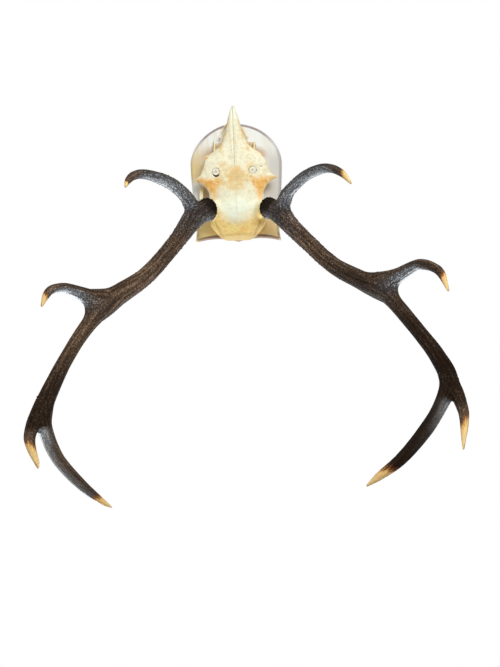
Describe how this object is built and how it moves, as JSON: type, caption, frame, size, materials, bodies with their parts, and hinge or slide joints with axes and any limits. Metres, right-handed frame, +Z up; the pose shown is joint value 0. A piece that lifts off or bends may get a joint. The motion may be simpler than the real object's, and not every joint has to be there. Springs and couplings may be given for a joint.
{
  "type": "red deer antlers on skull and wall shield",
  "caption": "Pair of dark brown red deer antlers with pale tips on their sawn upper skull, screwed to a pale arched wooden trophy shield for a wall.",
  "frame": {"origin": "middle of the shield's flat back, which lies on the wall", "axes": "+Z up along the wall as the trophy hangs, nose down and antlers up; +Y into the wall; -Y out into the room; +X the animal's own left"},
  "size_m": [0.7696, 0.487, 0.802],
  "materials": {
    "shield_wood": "pale limed wood, satin",
    "skull_bone": "bleached bone, matte, with amber stains",
    "antler_bone": "dark brown antler, pearled and grooved, ivory tips",
    "screw_steel": "bright zinc"
  },
  "bodies": {
    "root": {"shield": "shield_wood", "skull": "skull_bone", "left_beam_lower": "antler_bone", "left_brow_tine": "antler_bone", "left_tray_tine": "antler_bone", "left_beam_upper": "antler_bone", "left_top_front_tine": "antler_bone", "left_top_rear_tine": "antler_bone", "right_beam_lower": "antler_bone", "right_brow_tine": "antler_bone", "right_tray_tine": "antler_bone", "right_beam_upper": "antler_bone", "right_top_front_tine": "antler_bone", "right_top_rear_tine": "antler_bone", "left_screw": "screw_steel", "right_screw": "screw_steel"}
  },
  "joints": []
}
